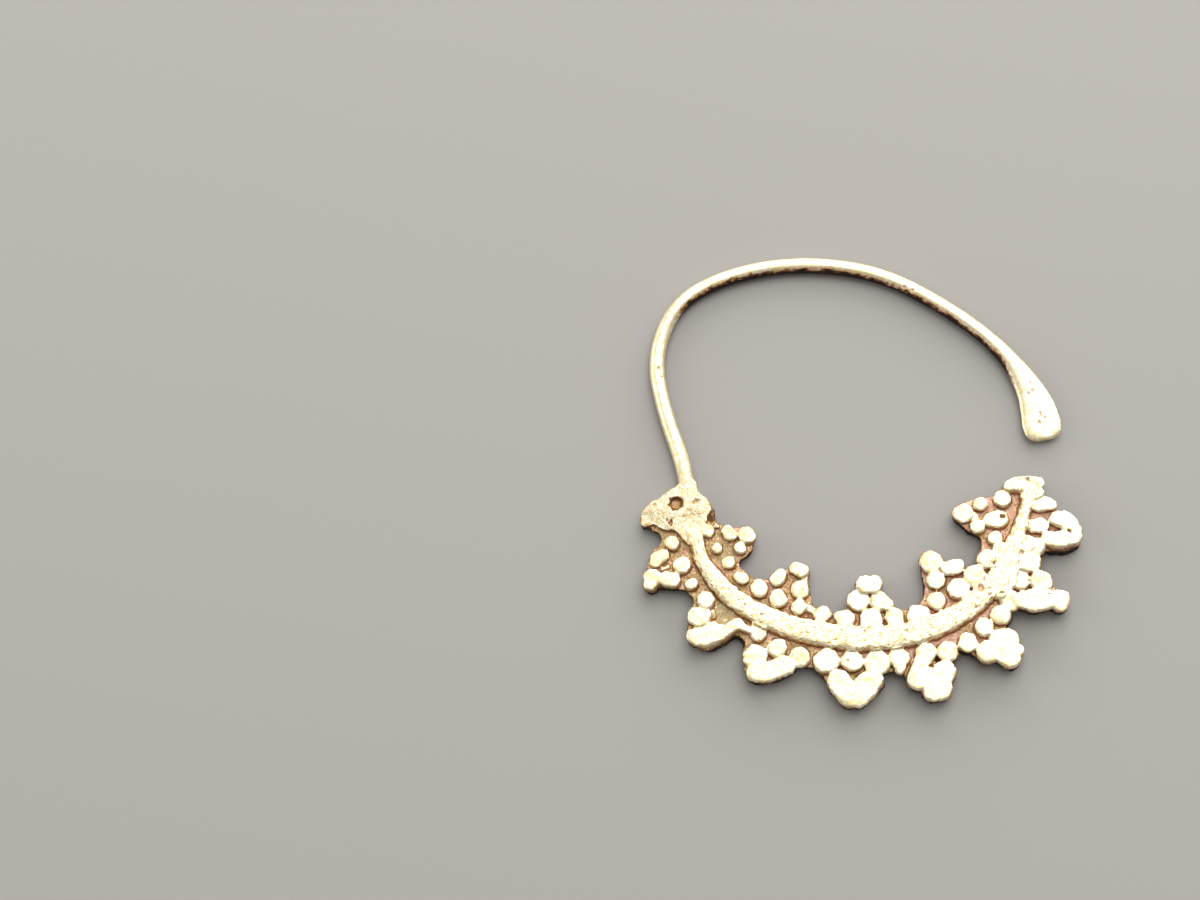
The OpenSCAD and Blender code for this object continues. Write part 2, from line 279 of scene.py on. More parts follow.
# Pits and brown spots: x, y, width, depth
PITS = [
    (-16.3, -2.2, 1.3, 0.4), (-16.8, -4, 0.5, 0.25), (-16.4, -4.1, 0.35, 0.2),
    (15.9, 8.1, 0.25, 0.03), (16.1, 7.4, 0.35, 0.04), (15.7, 7.1, 0.25, 0.03), (16.45, 7, 0.25, 0.03),
    (16.2, 5.8, 0.3, 0.03), (16.6, 5.3, 0.22, 0.03), (17, 4.8, 0.3, 0.04), (17.1, 4.3, 0.25, 0.03),
    (16.5, 4.4, 0.35, 0.04), (16.7, 4.9, 0.22, 0.03), (16.8, 3.9, 0.25, 0.03),
    (-17.8, 10.9, 0.4, 0.08), (-17.6, 10, 0.3, 0.06), (5, 17.7, 0.35, 0.06), (5.7, 17.4, 0.3, 0.05),
    (12.8, -4.4, 0.42, 0.3), (18.5, -5.9, 0.35, 0.25), (15.1, -1.1, 0.3, 0.2),
    (10.5, -10.8, 0.7, 0.08), (10.85, -10, 0.35, 0.08), (11.3, -10.8, 0.3, 0.06), (11.25, -11.45, 0.25, 0.06),
    (10.2, -11.75, 0.2, 0.05), (10.05, -12.5, 0.25, 0.05), (12.4, -11.25, 0.25, 0.1),
    (14.75, -10.2, 0.25, 0.08), (16.4, -11.45, 0.25, 0.1), (12.2, -12.1, 0.4, 0.05), (14.3, -7.7, 0.35, 0.1),
    (11.8, -8.55, 0.25, 0.2), (10.4, -4.5, 0.25, 0.05), (6, -17.55, 0.35, 0.25), (6.55, -16.95, 0.45, 0.3),
    (7.1, -9.1, 0.3, 0.1), (6.15, -9.35, 0.15, 0.05), (-1.3, -16.85, 0.3, 0.05),
    (8.7, -11.8, 0.35, 0.06), (-4.35, -13.6, 0.18, 0.04), (0.3, -14.4, 0.18, 0.04), (3.9, -14.4, 0.2, 0.04),
    (-8.7, -12.65, 0.25, 0.04), (-10.15, -11.7, 0.25, 0.04), (-10.75, -11.2, 0.2, 0.04),
    (-5.2, -14.35, 0.25, 0.04), (-14.8, -3.35, 0.2, 0.05), (-14.2, -3.25, 0.18, 0.05),
    (-14.75, -2.2, 0.2, 0.05), (-14.4, -1.95, 0.35, 0.05), (-18.3, -2.2, 0.2, 0.04),
    (-15.6, -3.4, 0.25, 0.06), (-17.05, -3.75, 0.25, 0.15),
]

# Stains without a dent, and at the foot of the collar the two darkest spots, which are painted shadow:
# x, y, width, how dark, how olive
STAINS = [
    (-13.1, -3.55, 0.9, 0.75, 0), (-12, -12.2, 2.4, 0, 0.85), (-12, -6.7, 1.8, 0.1, 0.85),
    (10.6, -10.9, 1.1, 0.3, 0.4), (-18.9, -4.4, 1, 0.6, 0), (-14.5, -2.1, 0.6, 0.35, 0.6),
    (-7.5, -12.9, 0.9, 0, 0.6), (15, -5.9, 0.9, 0.1, 0.5),
]

# Patterns on the metal: bumps to the millimetre, detail, roughness
PATTERNS = {
    "grit": (4.5, 3.0, 0.6),  # of the casting sand, about 0.22 mm
    "patches": (0.7, 2.0, 0.5),  # of rosy and olive tarnish, about 1.4 mm
    "mottle": (2.6, 3.0, 0.65),  # of the worn tops, about 0.4 mm
    "specks": (7.0, 2.0, 0.6),  # of bare metal, and pores in the collar, about 0.14 mm
}
# Where the patterns show: which one, from and to what value of it, and the share before and after
SHOWING = {
    "bare": ("specks", 0.57, 0.66, 1, 0.3),  # how much tarnish is left on the specks
    "worn": ("mottle", 0.42, 0.6, 0, 1),
    "pores": ("specks", 0.57, 0.63, 0, 0.8),
    "filed": ("strokes", 0.5, 0.62, 0, 0.6),
    "dashed": ("dashes", 0.52, 0.62, 0, 1),
}
# Length and width of the dashes drawn out along the rib, and of the strokes of the file on the collar
DASH_LONG, DASH_WIDE = 0.5, 0.111
STROKE_LONG, STROKE_WIDE = 1.25, 0.15625
STROKE_TURN = -0.75  # in radians

# Colours of the brass, from its worn tops down to the foot of its walls
RUBBED_GOLD = "#F8F0D6"
WARM_GOLD = "#F0DDA4"
CAST_PALE = "#ECE5CC"
CAST_DULL = "#DACAA0"
FILE_STROKE = "#BCAA80"
PORE = "#8E7C60"
DASH = "#AA7E42"
GROUND_PALE = "#F3DEB0"
GROUND_TAN = "#C49C70"
GROUND_BROWN = "#84583A"
ROSY = "#D6A898"
OLIVE = "#AC9560"
OLIVE_STAIN = "#B4A47A"
# Painted shade on the walls: golden brown under the rim, near black at the foot
WALL_BROWN = "#9A6424"
WALL_SHADOW = "#2A1206"
BOARD_GREY = "#9A9792"
STUDIO_WHITE = "#F4F2EE"

# Soft boxes that all face the hoop, a wide one above it and low ones behind it and at both sides:
# name, place, size, power
LAMPS = [
    ("box_above", (0.12, 0.24, 0.5), (0.5, 0.55), 3),
    ("box_behind", (0.08, 0.6, 0.2), (0.9, 0.35), 4),
    ("box_left", (-0.5, 0.12, 0.2), (0.4, 0.3), 1),
    ("box_right", (0.5, 0.25, 0.2), (0.4, 0.3), 0.8),
]


def bend_line():
    """Points of the wire's line, a curve that touches the middle of each leg between two corners."""
    bends = np.array(BENDS, float)
    points = [bends[0]]
    for i in range(1, len(bends) - 1):
        before, after = (bends[i - 1] + bends[i]) / 2, (bends[i] + bends[i + 1]) / 2
        for k in range(STEPS):
            part = k / STEPS
            points.append((1 - part) ** 2 * before + 2 * part * (1 - part) * bends[i] + part * part * after)
    points += [(bends[-2] + bends[-1]) / 2, bends[-1]]
    return np.array(points) + MIDDLE


LINE = bend_line()
LENGTHS = np.concatenate([[0], np.cumsum(np.hypot(*np.diff(LINE, axis=0).T))])
COLLAR_AT = LENGTHS[1 + (COLLAR_BEND - 1) * STEPS + STEPS // 2]
RIB_END = COLLAR_AT + RIB[-1][0]


def on_line(run):
    """A point of the line at each distance from its tip."""
    return np.stack([np.interp(run, LENGTHS, LINE[:, 0]), np.interp(run, LENGTHS, LINE[:, 1])], -1)


def outward(run):
    """The direction that points out of the crescent at each distance from the tip."""
    reach = 0.3
    run = np.clip(run, reach, LENGTHS[-1] - reach)
    direction = on_line(run + reach) - on_line(run - reach)
    direction /= np.hypot(direction[..., 0], direction[..., 1])[..., None]
    return np.stack([direction[..., 1], -direction[..., 0]], -1)


def wire_section(run):
    """Width, thickness, middle height and shift of the wire and the rib at each distance from the tip."""
    paddle, rib = np.array(PADDLE), np.array(RIB)
    along = run - COLLAR_AT
    width = np.interp(run, paddle[:, 0], paddle[:, 1])
    thick = np.interp(run, paddle[:, 0], paddle[:, 2])
    rib_width = RIB_W * np.interp(along, rib[:, 0], rib[:, 1])
    rib_width *= 1 + (RIB_SWELL - 1) * ramp(along, *RIB_WIDENS)
    rib_top = PLATE_T + np.interp(along, rib[:, 0], rib[:, 2])
    rib_thick = np.minimum(rib_top, RIB_DEEPEST)
    on_plate = along > RIB[0][0]
    return (
        np.where(on_plate, rib_width, width),
        np.where(on_plate, rib_thick, thick),
        np.where(on_plate, rib_top - rib_thick / 2, WIRE_D / 2),
        np.interp(along, rib[:, 0], rib[:, 3]),
    )


def add(tree, kind, inputs=(), **settings):
    """Adds a node with its settings, and sets or links its inputs."""
    node = tree.nodes.new(kind)
    for name, value in settings.items():
        setattr(node, name, value)
    for socket, value in dict(inputs).items():
        if isinstance(value, bpy.types.NodeSocket):
            tree.links.new(value, node.inputs[socket])
        else:
            node.inputs[socket].default_value = value
    return node


def colour(text):
    """An sRGB hex colour as linear red, green, blue and alpha."""
    parts = [int(text[i : i + 2], 16) / 255 for i in (1, 3, 5)]
    return [c / 12.92 if c <= 0.04045 else ((c + 0.055) / 1.055) ** 2.4 for c in parts] + [1]


def new_object(name, mesh):
    made = bpy.data.objects.new(name, mesh)
    bpy.context.scene.collection.objects.link(made)
    return made


def point_mesh(name, points, edges=(), **values):
    """A mesh of loose points, with a named value on each."""
    mesh = bpy.data.meshes.new(name)
    mesh.from_pydata([tuple(p) for p in points], list(edges), [])
    for key, numbers in values.items():
        mesh.attributes.new(key, "FLOAT", "POINT").data.foreach_set("value", np.asarray(numbers, np.float32))
    return mesh


def settle(made):
    """Applies the object's modifiers and returns the plain mesh, with the object taken away."""
    graph = bpy.context.evaluated_depsgraph_get()
    mesh = bpy.data.meshes.new_from_object(made.evaluated_get(graph), depsgraph=graph)
    old = made.data
    bpy.data.objects.remove(made)
    bpy.data.meshes.remove(old)
    return mesh


def node_modifier(made, tree, **inputs):
    """Puts a geometry tree on the object and sets its named inputs."""
    modifier = made.modifiers.new(tree.name, "NODES")
    modifier.node_group = tree
    for item in tree.interface.items_tree:
        if item.item_type == "SOCKET" and item.in_out == "INPUT" and item.name in inputs:
            modifier[item.identifier] = inputs[item.name]


def geometry_tree(name, sizes):
    """A geometry tree with an input for each named size, and its group input and output nodes."""
    tree = bpy.data.node_groups.new(name, "GeometryNodeTree")
    tree.interface.new_socket("Geometry", in_out="INPUT", socket_type="NodeSocketGeometry")
    for size, kind in sizes.items():
        tree.interface.new_socket(size, in_out="INPUT", socket_type=kind)
    tree.interface.new_socket("Geometry", in_out="OUTPUT", socket_type="NodeSocketGeometry")
    return tree, add(tree, "NodeGroupInput"), add(tree, "NodeGroupOutput")


def set_metal(tree, shape, given, result):
    """Ends a geometry tree: the shape is made real, given its metal and handed on."""
    whole = add(tree, "GeometryNodeRealizeInstances", {"Geometry": shape})
    cast = add(
        tree,
        "GeometryNodeSetMaterial",
        {"Geometry": whole.outputs["Geometry"], "Material": given.outputs["Metal"]},
    )
    tree.links.new(cast.outputs["Geometry"], result.inputs["Geometry"])


def wire_tree():
    """Sweeps a round section along the wire's line, then presses it to its thickness there."""
    tree, given, result = geometry_tree(
        "ear_wire_sweep", {"Sides": "NodeSocketInt", "Metal": "NodeSocketMaterial"}
    )
    line = add(tree, "GeometryNodeMeshToCurve", {"Mesh": given.outputs["Geometry"]})
    width = add(tree, "GeometryNodeInputNamedAttribute", {"Name": "half_width"}, data_type="FLOAT")
    press = add(tree, "GeometryNodeInputNamedAttribute", {"Name": "press"}, data_type="FLOAT")
    lift = add(tree, "GeometryNodeInputNamedAttribute", {"Name": "lift"}, data_type="FLOAT")
    ring = add(
        tree, "GeometryNodeCurvePrimitiveCircle", {"Resolution": given.outputs["Sides"], "Radius": 1.0}
    )
    swept = add(
        tree,
        "GeometryNodeCurveToMesh",
        {
            "Curve": line.outputs["Curve"],
            "Profile Curve": ring.outputs["Curve"],
            "Scale": width.outputs["Attribute"],
            "Fill Caps": True,
        },
    )
    place = add(tree, "GeometryNodeInputPosition")
    parts = add(tree, "ShaderNodeSeparateXYZ", {0: place.outputs[0]})
    height = add(
        tree,
        "ShaderNodeMath",
        {0: parts.outputs["Z"], 1: press.outputs["Attribute"], 2: lift.outputs["Attribute"]},
        operation="MULTIPLY_ADD",
    )
    moved = add(
        tree,
        "ShaderNodeCombineXYZ",
        {"X": parts.outputs["X"], "Y": parts.outputs["Y"], "Z": height.outputs[0]},
    )
    pressed = add(
        tree,
        "GeometryNodeSetPosition",
        {"Geometry": swept.outputs["Mesh"], "Position": moved.outputs["Vector"]},
    )
    set_metal(tree, pressed.outputs["Geometry"], given, result)
    return tree


def grain_tree():
    """Sets a worn grain on each point: a short drum with a rounded rim, turned and tipped by chance."""
    tree, given, result = geometry_tree(
        "cast_grains",
        {
            "Squareness": "NodeSocketFloat",
            "Half Height": "NodeSocketFloat",
            "Unevenness": "NodeSocketFloat",
            "Seed": "NodeSocketInt",
            "Metal": "NodeSocketMaterial",
        },
    )
    size = add(tree, "GeometryNodeInputNamedAttribute", {"Name": "radius"}, data_type="FLOAT")
    tip = add(tree, "GeometryNodeInputNamedAttribute", {"Name": "tip"}, data_type="FLOAT")

    # A ball is blown up into a drum: its reach and its height, to the power of the squareness, add up to 1
    ball = add(tree, "GeometryNodeMeshIcoSphere", {"Radius": 1.0, "Subdivisions": 4})
    place = add(tree, "GeometryNodeInputPosition")
    parts = add(tree, "ShaderNodeSeparateXYZ", {0: place.outputs[0]})
    level = add(tree, "ShaderNodeVectorMath", {0: place.outputs[0], 1: (1, 1, 0)}, operation="MULTIPLY")
    reach = add(tree, "ShaderNodeVectorMath", {0: level.outputs[0]}, operation="LENGTH")
    height = add(tree, "ShaderNodeMath", {0: parts.outputs["Z"]}, operation="ABSOLUTE")
    power = given.outputs["Squareness"]
    reach_part = add(tree, "ShaderNodeMath", {0: reach.outputs["Value"], 1: power}, operation="POWER")
    height_part = add(tree, "ShaderNodeMath", {0: height.outputs[0], 1: power}, operation="POWER")
    both = add(tree, "ShaderNodeMath", {0: reach_part.outputs[0], 1: height_part.outputs[0]})
    inverse = add(tree, "ShaderNodeMath", {0: -1.0, 1: power}, operation="DIVIDE")
    grow = add(tree, "ShaderNodeMath", {0: both.outputs[0], 1: inverse.outputs[0]}, operation="POWER")
    grown = add(
        tree, "ShaderNodeVectorMath", {0: place.outputs[0], "Scale": grow.outputs[0]}, operation="SCALE"
    )
    drum = add(
        tree, "GeometryNodeSetPosition", {"Geometry": ball.outputs["Mesh"], "Position": grown.outputs[0]}
    )

    # Each grain is stretched and turned by chance, and tipped as far as its tip says
    least = add(tree, "ShaderNodeMath", {0: 1.0, 1: given.outputs["Unevenness"]}, operation="SUBTRACT")
    most = add(tree, "ShaderNodeMath", {0: 1.0, 1: given.outputs["Unevenness"]}, operation="ADD")
    stretch = add(
        tree,
        "FunctionNodeRandomValue",
        {0: least.outputs[0], 1: most.outputs[0], "Seed": given.outputs["Seed"]},
        data_type="FLOAT_VECTOR",
    )
    wide = add(
        tree,
        "ShaderNodeVectorMath",
        {0: stretch.outputs[0], "Scale": size.outputs["Attribute"]},
        operation="SCALE",
    )
    sides = add(tree, "ShaderNodeSeparateXYZ", {0: wide.outputs["Vector"]})
    scale = add(
        tree,
        "ShaderNodeCombineXYZ",
        {"X": sides.outputs["X"], "Y": sides.outputs["Y"], "Z": given.outputs["Half Height"]},
    )
    chance = add(
        tree,
        "FunctionNodeRandomValue",
        {0: (-1.0, -1.0, 0.0), 1: (1.0, 1.0, 6.28), "Seed": given.outputs["Seed"]},
        data_type="FLOAT_VECTOR",
    )
    lean = add(tree, "ShaderNodeCombineXYZ", {"X": tip.outputs[0], "Y": tip.outputs[0], "Z": 1.0})
    turn = add(
        tree, "ShaderNodeVectorMath", {0: chance.outputs[0], 1: lean.outputs[0]}, operation="MULTIPLY"
    )
    turned = add(tree, "FunctionNodeEulerToRotation", {0: turn.outputs[0]})
    placed = add(
        tree,
        "GeometryNodeInstanceOnPoints",
        {
            "Points": given.outputs["Geometry"],
            "Instance": drum.outputs["Geometry"],
            "Rotation": turned.outputs["Rotation"],
            "Scale": scale.outputs["Vector"],
        },
    )
    set_metal(tree, placed.outputs["Instances"], given, result)
    return tree


def values_of(items, key, width, kind):
    """One value of each corner or edge of a mesh, as rows of an array."""
    out = np.empty(len(items) * width, kind)
    items.foreach_get(key, out)
    return out.reshape(-1, width)


def corners_of(mesh):
    return values_of(mesh.vertices, "co", 3, np.float32).astype(float)


def normals_of(mesh):
    return values_of(mesh.vertices, "normal", 3, np.float32).astype(float)


def edges_of(mesh):
    return values_of(mesh.edges, "vertices", 2, np.int32)


def put_corners(mesh, corners):
    mesh.vertices.foreach_set("co", np.ascontiguousarray(corners, np.float32).ravel())
    mesh.update()


def neighbour_mean(values, pairs, count):
    """Mean of each corner's neighbours."""
    total = np.zeros_like(values)
    for c in range(values.shape[1]):
        total[:, c] = np.bincount(pairs[:, 0], values[pairs[:, 1], c], len(values))
        total[:, c] += np.bincount(pairs[:, 1], values[pairs[:, 0], c], len(values))
    return total / count[:, None]


def smoothed(values, pairs, rounds, step=0.5, back=0.0):
    """Evens values out over the skin; a step back after each step keeps the shape from shrinking."""
    count = np.bincount(pairs.ravel(), minlength=len(values)).astype(float)
    values = values.copy()
    for _ in range(rounds):
        values += step * (neighbour_mean(values, pairs, count) - values)
        if back:
            values -= back * (neighbour_mean(values, pairs, count) - values)
    return values


def ramp(x, low, high):
    """Rises smoothly from 0 at low to 1 at high."""
    part = np.clip((x - low) / (high - low), 0, 1)
    return part * part * (3 - 2 * part)


def between(x, rise, fall):
    """Rises from 0 to 1 over one stretch and falls back to 0 over a later one."""
    return ramp(x, *rise) * (1 - ramp(x, *fall))


def rough(points, size, seed):
    """Smooth noise from -1 to 1, with bumps about size millimetres across."""
    shift = Vector((seed * 7.3, seed * 3.1, seed * 1.7))
    return np.array([noise.noise(Vector(p) / size + shift) for p in points]) * 2


def bumps(points, rows):
    """Noise of several sizes added up, from rows of size, height and seed."""
    return sum(height * rough(points, size, seed) for size, height, seed in rows)


def from_spot(points, x, y, width, fray):
    """Distance from a spot's middle as a share of its half width, with its rim frayed."""
    return (np.hypot(points[:, 0] - x, points[:, 1] - y) + fray) / (width / 2)


def near_line(points):
    """Distance along the line and across it, positive out of the crescent, for each point."""
    step, batch = 0.1, 4000
    run = np.arange(0, LENGTHS[-1], step)
    line, out = on_line(run), outward(run)
    best = np.empty(len(points), int)
    for i in range(0, len(points), batch):
        part = points[i : i + batch, None, :2] - line[None]
        best[i : i + batch] = (part**2).sum(-1).argmin(1)
    off = ((points[:, :2] - line[best]) * out[best]).sum(1)
    direction = np.stack([-out[best][:, 1], out[best][:, 0]], -1)
    return run[best] + ((points[:, :2] - line[best]) * direction).sum(1), off


def slab(edge, high):
    """An upright slab on the ground, with the corners of its outline cut off twice."""
    edge = np.array(edge, float)
    for _ in range(2):
        after = np.roll(edge, -1, 0)
        edge = np.stack([0.75 * edge + 0.25 * after, 0.25 * edge + 0.75 * after], 1).reshape(-1, 2)
    count = len(edge)
    corners = [(x, y, z) for z in (0, high) for x, y in edge]
    faces = [list(range(count))[::-1], list(range(count, 2 * count))]
    faces += [[i, (i + 1) % count, (i + 1) % count + count, i + count] for i in range(count)]
    mesh = bpy.data.meshes.new("slab")
    mesh.from_pydata(corners, [], faces)
    return mesh


def grain_places():
    """Middle, radius and tip of each grain, and of the grains set close together along each run."""
    points, radii, tips = [], [], []
    chance = np.random.RandomState(HEIGHT_SEED)
    for x, y, width in GRAINS:
        top = PLATE_T + GRAIN_TOP + chance.uniform(-TOP_SPREAD, TOP_SPREAD)
        points.append((x, y, top - PEG_HALF))
        radii.append(width * FULLNESS / 2)
        tips.append(LONE_TIP)
    for top, row in RUNS:
        row = np.array(row)
        legs = np.concatenate([[0], np.cumsum(np.hypot(*np.diff(row[:, :2], axis=0).T))])
        for way in np.linspace(0, legs[-1], int(legs[-1] / RUN_STEP) + 2):
            x, y, width = (np.interp(way, legs, row[:, c]) for c in range(3))
            points.append((x, y, PLATE_T + top - PEG_HALF))
            radii.append(width * FULLNESS / 2)
            tips.append(RUN_TIP)
    return points, radii, tips


def cast_skin(metal):
    """Plate, collar, wire and grains fused into one closed skin, in millimetres."""
    plate, collar = slab(PLATE_EDGE, PLATE_T), slab(COLLAR_EDGE, COLLAR_TOP)
    # Sections of the wire, closer together at its rounded tip
    run = np.concatenate([np.linspace(0, 0.8, 9), np.arange(1, RIB_END, 0.25)])
    width, thick, mid, shift = wire_section(run)
    spots = np.c_[on_line(run) + outward(run) * shift[:, None], np.zeros(len(run))]
    line = point_mesh(
        "wire",
        spots,
        [(i, i + 1) for i in range(len(run) - 1)],
        half_width=width / 2,
        press=thick / width,
        lift=mid,
    )
    swept = new_object("wire", line)
    node_modifier(swept, wire_tree(), Sides=40, Metal=metal)
    wire = settle(swept)

    points, radii, tips = grain_places()
    balls = new_object("grains", point_mesh("grains", points, radius=radii, tip=tips))
    sizes = {"Squareness": SQUARENESS, "Half Height": PEG_HALF, "Unevenness": UNEVENNESS}
    node_modifier(balls, grain_tree(), Seed=GRAIN_SEED, Metal=metal, **sizes)
    grains = settle(balls)

    # A grain at the rim reaches down the wall, and the others are lost in the plate
    corners = corners_of(grains)
    corners[:, 2] = np.maximum(corners[:, 2], GRAIN_FOOT)
    put_corners(grains, corners)

    joined = bpy.data.meshes.new("joined")
    verts, faces, start = [], [], 0
    for mesh in (plate, collar, wire, grains):
        corners = corners_of(mesh)
        verts += [tuple(p) for p in corners]
        faces += [[v + start for v in f.vertices] for f in mesh.polygons]
        start += len(corners)
        bpy.data.meshes.remove(mesh)
    joined.from_pydata(verts, [], faces)
    fused = new_object("fused", joined)
    remesh = fused.modifiers.new("fuse", "REMESH")
    remesh.mode = "VOXEL"
    remesh.voxel_size = CELL
    return settle(fused)


def wear_skin(mesh):
    """Rounds the casting off, wears its top flat, roughens it and slopes its walls."""
    pairs = edges_of(mesh)
    corners = smoothed(corners_of(mesh), pairs, rounds=2, step=0.6, back=0.3)
    run, off = near_line(corners)
    along = run - COLLAR_AT
    on_plate = ramp(along, *PLATE_STARTS)

    # The outlines of grains wander, and those of the rib too
    warp = np.zeros((len(corners), 2))
    for size, reach, seed in WANDER:
        warp += np.stack([rough(corners, size, seed), rough(corners, size, seed + 1)], -1) * reach
    corners[:, :2] += warp * on_plate[:, None]

    # The rib is worn to a broad low flat with steep sides
    height = corners[:, 2] - PLATE_T
    part = np.clip(height / RIB_H, 0, 1)
    crown = RIB_FLAT * (1 - (1 - part) ** RIB_STEEPNESS) + RIB_DOME * part
    width, _, _, shift = wire_section(run)
    rib = (1 - ramp(np.abs(off - shift) - width / 2, *RIB_EDGE)) * (height > 0)
    rib *= between(along, RIB_STARTS, RIB_ENDS)
    corners[:, 2] += (PLATE_T + crown - corners[:, 2]) * rib

    # The collar swells up from the wire, and the wire is lost in it
    raised = height > 0.2
    crest = WIRE_D + COLLAR_RISE * ramp(along, *COLLAR_RISES) - COLLAR_FALL * (off / COLLAR_HALF) ** 2
    crest += bumps(corners, COLLAR_SWELLS)
    filled = np.minimum(crest, corners[:, 2] + COLLAR_FILL)
    corners[:, 2] += (filled - corners[:, 2]) * (between(along, COLLAR_STARTS, COLLAR_ENDS) * raised)
    mellow = smoothed(corners, pairs, rounds=4, step=0.6)
    corners += (mellow - corners) * (between(along, MELLOW_STARTS, MELLOW_ENDS) * raised)[:, None]

    # Walls stand back at their foot, or lean out where the casting slumped
    put_corners(mesh, corners)
    normal = smoothed(normals_of(mesh), pairs, rounds=3)
    level = np.hypot(normal[:, 0], normal[:, 1])
    side = normal[:, :2] / np.maximum(level, 1e-6)[:, None]
    wall = np.clip(level * 1.3, 0, 1)
    lean = -UNDERCUT * (1 - np.clip(corners[:, 2] / PLATE_T, 0, 1))
    below = 1 - np.clip(corners[:, 2] / (PLATE_T + GRAIN_TOP), 0, 1)
    for x, y, reach, most in LEANS:
        away = np.hypot(corners[:, 0] - x, corners[:, 1] - y)
        lean += most * below * (1 - ramp(away, 0.6 * reach, reach))
    corners[:, :2] += side * (wall * lean * on_plate)[:, None]

    # Cast surface: low swells and fine pits, most between the grains and none on the flat back
    top = ramp(corners[:, 2], *BACK_ENDS)
    swell = bumps(corners, SWELLS)
    swell *= 1 + 1.5 * (1 - ramp(corners[:, 2] - PLATE_T, *HOLLOWS_END)) * on_plate
    corners += normal * (swell * top * (0.25 + 0.75 * on_plate))[:, None]
    fray = bumps(corners, FRAY)
    for x, y, width, deep in PITS:
        apart = from_spot(corners, x, y, width, fray)
        corners[:, 2] -= deep * (1 - ramp(apart, *PIT_FADES)) * (normal[:, 2] > 0.1)
    corners[:, 2] = np.clip(corners[:, 2], 0, cad_high[2] / MM + 0.02)
    put_corners(mesh, corners)


def thin_out(mesh, most):
    """Brings the skin down to a number of triangles, fewest where it is flat."""
    made = new_object("thin", mesh)
    triangles = sum(len(f.vertices) - 2 for f in mesh.polygons)
    less = made.modifiers.new("less", "DECIMATE")
    less.ratio = min(1, most / triangles)
    return settle(made)


def mark_wear_and_shade(mesh):
    """Stores each point's tarnish, painted shade, pits and olive stain, and its place along the wire."""
    corners, normal, pairs = corners_of(mesh), normals_of(mesh), edges_of(mesh)
    run, off = near_line(corners)
    along = run - COLLAR_AT
    on_plate = ramp(along, *TARNISH_STARTS)

    # Hollows lie behind the evened skin, edges stand in front of it. The tarnish laid in the hollows is
    # partly painted shade in their crevices
    calm = smoothed(corners, pairs, rounds=8)
    hollow = np.clip(((calm - corners) * normal).sum(1), 0, 1)

    # Tarnish lies on the ground and clings to the sides of the grains, and the collar keeps little
    height = corners[:, 2] - PLATE_T
    collar = between(along, BARE_STARTS, BARE_ENDS)
    wall = ramp(np.hypot(normal[:, 0], normal[:, 1]), *STEEP)
    ground = np.maximum(1 - ramp(height, *GROUND_ENDS), wall * (1 - ramp(height, *SIDES_END)))
    # Faces turned down are painted with shade, brown and dark
    under = ramp(-normal[:, 2], *UNDERSIDE)

    # Painted shade: the inner side of the hoop is the dark one, most so at its top and right, in blotches
    out = outward(run)
    blotch = -(normal[:, :2] * out).sum(1) + bumps(corners, BLOTCHES)
    shaded_side = (0.25 + 0.75 * ramp(out[:, 0], *SHADED_SIDE)) * ramp(run, *PADDLE_ENDS)
    wire_half_shade = ramp(blotch, *HALF_SHADE_FROM) * shaded_side
    wire_deep_shade = ramp(blotch, *DEEP_SHADE_FROM) * shaded_side

    tarnish_and_shade = on_plate * np.clip(ground + 1.5 * hollow * (1 - 0.8 * collar), 0, 1)
    tarnish_and_shade = np.maximum(tarnish_and_shade, (1 - on_plate) * np.clip(0.8 * under + 0.9 * wire_half_shade, 0, 1))
    # Painted shade darkens the foot of the walls, the undersides and the inner side of the hoop
    dark = on_plate * wall * ramp(0.45 - height, 0, 0.9) + under * 0.6 + wire_deep_shade * (1 - on_plate)

    # Pits hold tarnish and have a dark rim of painted shade, and stains lie only on the ground unless
    # they are dark
    pitted, olive, fray = np.zeros(len(corners)), np.zeros(len(corners)), bumps(corners, FRAY)
    for x, y, width, deep in PITS:
        apart = from_spot(corners, x, y, width, fray)
        here = (1 - ramp(apart, *COLOUR_FADES)) * (normal[:, 2] > 0)
        pitted = np.maximum(pitted, here)
        rim = between(apart, RIM_STARTS, RIM_ENDS)
        dark = np.maximum(dark, (0.12 * here + 0.6 * rim) * ramp(deep, 0.05, 0.3))
    # The two darkest stains, at the foot of the collar, are painted shadow
    for x, y, width, deep, tint in STAINS:
        apart = from_spot(corners, x, y, width, 3 * fray)
        here = (1 - ramp(apart, *STAIN_FADES)) * np.maximum(deep, 1 - ramp(height, 0.25, 0.4))
        tarnish_and_shade = np.maximum(tarnish_and_shade, here)
        dark = np.maximum(dark, here * deep)
        olive = np.maximum(olive, here * tint)

    marks = mesh.color_attributes.new("wear_and_shade", "FLOAT_COLOR", "POINT")
    packed = np.stack([tarnish_and_shade, np.clip(dark, 0, 1), pitted, olive], -1)
    marks.data.foreach_set("color", packed.astype(np.float32).ravel())

    loops = values_of(mesh.loops, "vertex_index", 1, np.int32)[:, 0]
    uv = mesh.uv_layers.new(name="along_wire")
    uv.data.foreach_set("uv", np.stack([run[loops], off[loops]], -1).astype(np.float32).ravel())


